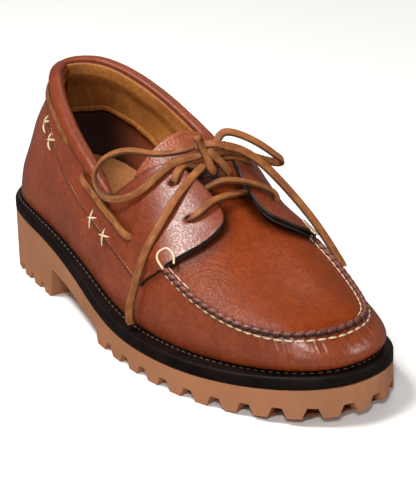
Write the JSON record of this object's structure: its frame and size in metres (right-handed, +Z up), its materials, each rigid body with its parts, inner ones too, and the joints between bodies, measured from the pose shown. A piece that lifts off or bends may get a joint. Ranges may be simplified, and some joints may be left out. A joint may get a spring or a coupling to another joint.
{
  "type": "moc-toe boat shoe",
  "caption": "Moc-toe leather boat shoe for the right foot on a lugged rubber sole, with a padded collar, side laces and a tied rawhide bow.",
  "frame": {"origin": "middle of the sole's outline at the ground", "axes": "+X from heel to toe, +Y towards the inner (medial) side, +Z up"},
  "size_m": [0.301, 0.1074, 0.1179],
  "materials": {
    "gum_rubber": "matt, gum coloured",
    "welt_leather": "dark, waxed edge",
    "sock_leather": "smooth tan",
    "upper_leather": "oiled rust full grain",
    "rawhide": "waxed rawhide"
  },
  "bodies": {
    "root": {"outsole": "gum_rubber", "midsole": "welt_leather", "insole": "sock_leather", "upper": "upper_leather", "quarter": "upper_leather", "collar_roll": "upper_leather", "tongue": "upper_leather", "lace_bar": "rawhide", "lace_crossing": "rawhide", "lace_side_lateral": "rawhide", "lace_side_medial": "rawhide", "lace_heel": "rawhide", "lace_knot": "rawhide", "lace_loop_lateral": "rawhide", "lace_loop_medial": "rawhide", "lace_end_lateral": "rawhide", "lace_end_medial": "rawhide"}
  },
  "joints": []
}
